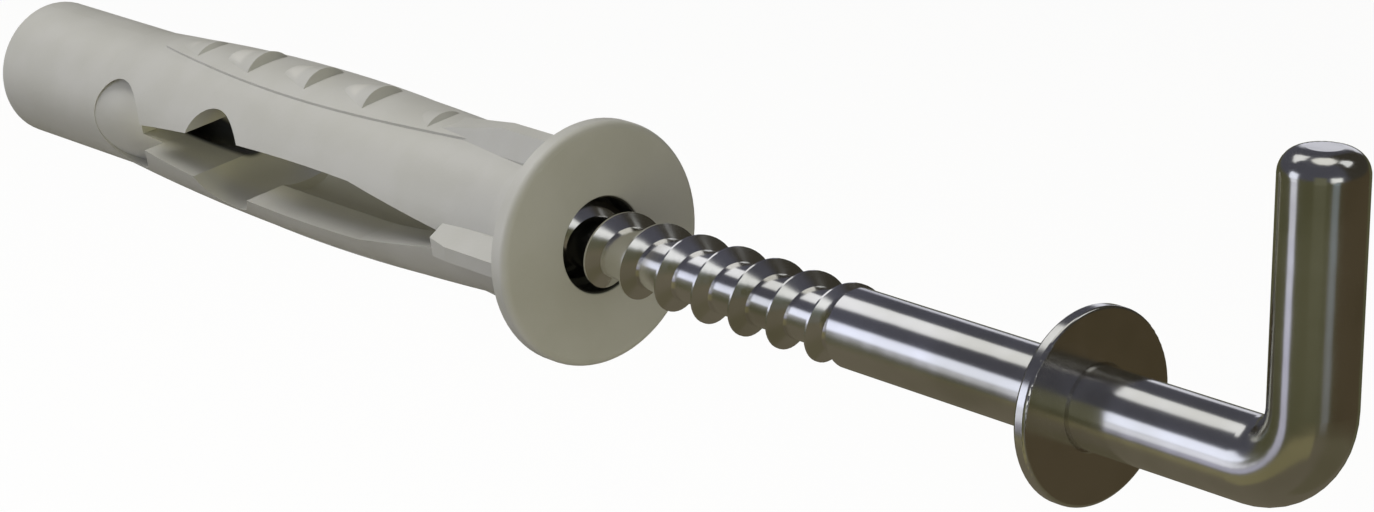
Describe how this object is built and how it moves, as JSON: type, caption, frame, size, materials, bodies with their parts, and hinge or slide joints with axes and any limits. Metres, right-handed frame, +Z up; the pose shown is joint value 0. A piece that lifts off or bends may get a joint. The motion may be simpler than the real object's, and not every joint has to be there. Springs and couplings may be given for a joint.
{
  "type": "expansion plug with hook",
  "caption": "Nylon expansion wall plug with a screw-in square hook: barbed split sleeve, collar, threaded steel hook with an upturned leg and a cover washer.",
  "frame": {"origin": "point on the plug's axis in the wall face of its collar", "axes": "+X along the plug's axis out of the wall towards the hook, +Z up along the hook's leg"},
  "size_m": [0.1017, 0.013, 0.0211],
  "materials": {
    "nylon": "satin moulded",
    "steel": "bright zinc plated"
  },
  "bodies": {
    "root": {"expansion_plug": "nylon", "screw_hook": "steel", "cover_washer": "steel"}
  },
  "joints": []
}
